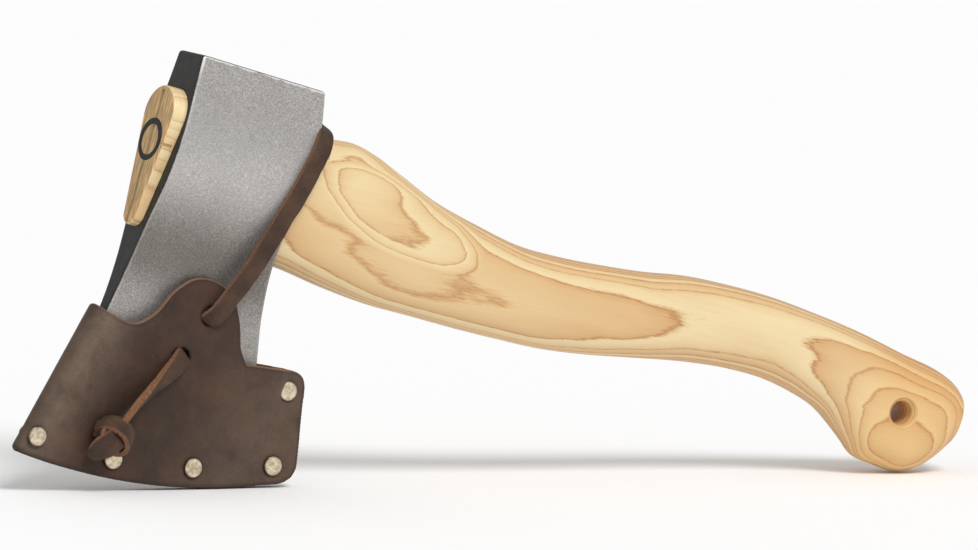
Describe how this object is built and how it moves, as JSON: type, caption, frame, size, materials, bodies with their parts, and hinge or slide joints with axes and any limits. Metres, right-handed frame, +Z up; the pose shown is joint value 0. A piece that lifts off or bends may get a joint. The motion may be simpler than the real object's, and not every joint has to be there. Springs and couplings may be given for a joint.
{
  "type": "hatchet",
  "caption": "Hatchet with a forged flared head, curved wooden handle with a hanging hole, and a riveted leather blade sheath held by a lace round the handle.",
  "frame": {"origin": "on the floor, under the middle of the object's box, with the hatchet standing on the rim of its sheath and on its knob", "axes": "+X runs from the head to the knob, +Y from the front cheek to the back cheek, through the hanging hole, and +Z up, towards the poll"},
  "size_m": [0.423, 0.0354, 0.1694],
  "materials": {
    "head_steel": "blasted cheeks, dark forge scale on the narrow sides, ground bit",
    "handle_wood": "sanded ash or hickory, thin coat of linseed oil",
    "wedge_wood": "end of a split hardwood wedge, sanded with the tongue",
    "ring_steel": "black oxide, satin",
    "sheath_leather": "oiled pull-up leather, dark brown, scuffed",
    "welt_leather": "undyed edge of oiled leather",
    "lace_leather": "oiled leather strap, raw flesh side",
    "rivet_metal": "nickel-plated brass, a little tarnished"
  },
  "bodies": {
    "sheath": {"sheath_leather": "sheath_leather", "sheath_welt": "welt_leather", "rivet_cap_1": "rivet_metal", "rivet_cap_2": "rivet_metal", "rivet_cap_3": "rivet_metal", "rivet_cap_4": "rivet_metal", "rivet_cap_5": "rivet_metal", "rivet_post_1": "rivet_metal", "rivet_post_2": "rivet_metal", "rivet_post_3": "rivet_metal", "rivet_post_4": "rivet_metal", "rivet_post_5": "rivet_metal", "lace_run_front": "lace_leather", "lace_run_back": "lace_leather", "lace_tail_front": "lace_leather", "lace_tail_back": "lace_leather"},
    "axe": {"axe_head": "head_steel", "handle": "handle_wood", "wooden_wedge": "wedge_wood", "ring_wedge": "ring_steel"},
    "loop": {"lace_loop": "lace_leather"},
    "knot_front": {"lace_knot_front": "lace_leather"},
    "knot_back": {"lace_knot_back": "lace_leather"}
  },
  "joints": [
    {"name": "axe_draw", "type": "slide", "parent": "sheath", "child": "axe", "axis": [0.3385, 0, 0.941], "range_m": [0, 0.09]},
    {"name": "lace_swing", "type": "hinge", "parent": "sheath", "child": "loop", "pos_m": [-0.13176, 0, 0.06841], "axis": [0, -1, 0], "range_deg": [0, 150], "deforming": ["lace_loop"]},
    {"name": "front_knot_slip", "type": "slide", "parent": "sheath", "child": "knot_front", "axis": [0.6681, -0.1309, 0.7325], "range_m": [0, 0.025], "deforming": ["lace_tail_front"]},
    {"name": "back_knot_slip", "type": "slide", "parent": "sheath", "child": "knot_back", "axis": [0.6681, 0.1309, 0.7325], "range_m": [0, 0.025], "deforming": ["lace_tail_back"]}
  ],
  "couplings": [
    {"joint": "lace_swing", "follows": "axe_draw", "rad_per_m": 29.08},
    {"joint": "front_knot_slip", "follows": "axe_draw", "ratio": 0.277},
    {"joint": "back_knot_slip", "follows": "axe_draw", "ratio": 0.277}
  ]
}
